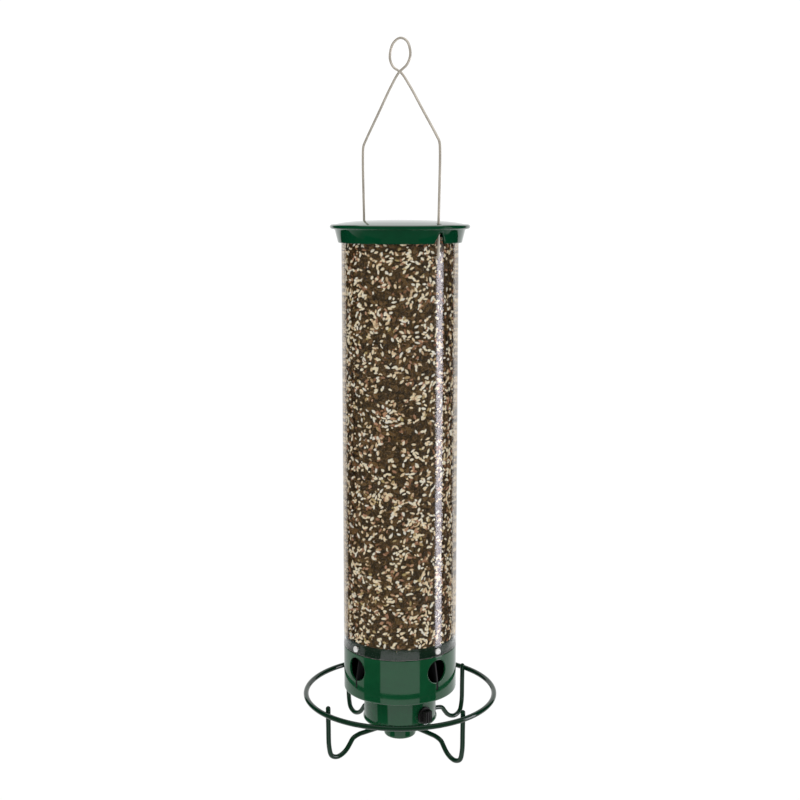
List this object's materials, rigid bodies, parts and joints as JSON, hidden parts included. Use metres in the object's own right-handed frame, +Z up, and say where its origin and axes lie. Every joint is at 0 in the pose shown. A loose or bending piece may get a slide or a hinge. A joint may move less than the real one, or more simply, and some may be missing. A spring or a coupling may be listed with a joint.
{
  "type": "hanging bird feeder",
  "caption": "Hanging clear-tube bird feeder: wire hanger, lift-up lid, ported green drum and a sprung motor-driven perch ring on bent wire feet.",
  "frame": {"origin": "inside top of the hanger's wire loop, where a hook carries the feeder", "axes": "+Z up along the tube; +X through one seed port and the charging socket, 2.5 degrees from a hanger leg"},
  "size_m": [0.1978, 0.1978, 0.7034],
  "materials": {
    "green_plastic": "glossy moulded",
    "green_coated_steel": "glossy powder coat",
    "stainless_wire": "drawn wire",
    "zinc_steel": "bright",
    "clear_polycarbonate": "clear",
    "black_rubber": "matt",
    "black_plastic": "satin",
    "white_acetal": "satin",
    "bronze": "sintered",
    "cell_sleeve": "shrink sleeve",
    "seed_mix": "dry seed"
  },
  "bodies": {
    "feeder_body": {"hanger_wire": "stainless_wire", "clear_tube": "clear_polycarbonate", "base_drum": "green_plastic", "seed_floor": "black_plastic", "port_baffle_1": "black_plastic", "port_baffle_2": "black_plastic", "port_baffle_3": "black_plastic", "port_baffle_4": "black_plastic", "collar_screw_1": "zinc_steel", "collar_screw_2": "zinc_steel", "collar_screw_3": "zinc_steel", "collar_screw_4": "zinc_steel", "battery_cell_1": "cell_sleeve", "battery_cell_2": "cell_sleeve", "battery_cell_3": "cell_sleeve", "battery_cell_4": "cell_sleeve", "cell_strap_1": "zinc_steel", "cell_strap_2": "zinc_steel", "cell_strap_3": "zinc_steel", "motor_housing": "green_plastic", "housing_base": "green_plastic", "housing_screw_1": "zinc_steel", "housing_screw_2": "zinc_steel", "housing_screw_3": "zinc_steel", "housing_screw_4": "zinc_steel", "cover_screw_1": "zinc_steel", "cover_screw_2": "zinc_steel", "cover_screw_3": "zinc_steel", "cover_screw_4": "zinc_steel", "charge_jack": "black_plastic", "chassis_plate": "zinc_steel", "motor": "zinc_steel", "shaft_bush": "bronze", "return_spring": "zinc_steel", "trip_switch": "black_plastic"},
    "lid_cover": {"lid": "green_plastic"},
    "perch_carrier": {"trip_plate": "white_acetal"},
    "perch": {"perch_shaft": "zinc_steel", "shaft_clip": "zinc_steel", "hub_body": "green_plastic", "hub_nut": "zinc_steel", "hub_cap": "green_plastic", "perch_ring": "green_coated_steel", "perch_foot_1": "green_coated_steel", "perch_foot_2": "green_coated_steel", "perch_foot_3": "green_coated_steel", "perch_foot_4": "green_coated_steel"},
    "gear_wheel": {"output_gear": "white_acetal"},
    "motor_rotor": {"motor_shaft": "zinc_steel", "drive_pinion": "bronze"},
    "button": {"switch_button": "white_acetal"},
    "cap": {"socket_cap": "black_rubber"}
  },
  "joints": [
    {"name": "lid_lift", "type": "slide", "parent": "feeder_body", "child": "lid_cover", "axis": [0, 0, 1], "range_m": [0, 0.055]},
    {"name": "perch_press", "type": "slide", "parent": "feeder_body", "child": "perch_carrier", "axis": [0, 0, -1], "range_m": [0, 0.005], "stiffness_N_per_m": 600, "springref_m": -0.005, "deforming": ["return_spring"]},
    {"name": "perch_spin", "type": "hinge", "parent": "perch_carrier", "child": "perch", "pos_m": [0, 0, -0.65], "axis": [0, 0, 1], "continuous": true},
    {"name": "gear_spin", "type": "hinge", "parent": "feeder_body", "child": "gear_wheel", "pos_m": [0, 0, -0.668], "axis": [0, 0, 1], "continuous": true},
    {"name": "pinion_spin", "type": "hinge", "parent": "feeder_body", "child": "motor_rotor", "pos_m": [-0.024, 0, -0.668], "axis": [0, 0, 1], "continuous": true},
    {"name": "button_press", "type": "slide", "parent": "feeder_body", "child": "button", "axis": [0, 0, -1], "range_m": [0, 0.001]},
    {"name": "cap_pull", "type": "slide", "parent": "feeder_body", "child": "cap", "axis": [1, 0, 0], "range_m": [0, 0.012]}
  ],
  "couplings": [
    {"joint": "gear_spin", "follows": "perch_spin", "ratio": 1},
    {"joint": "pinion_spin", "follows": "perch_spin", "ratio": -4},
    {"joint": "button_press", "follows": "perch_press", "ratio": 0.2}
  ]
}
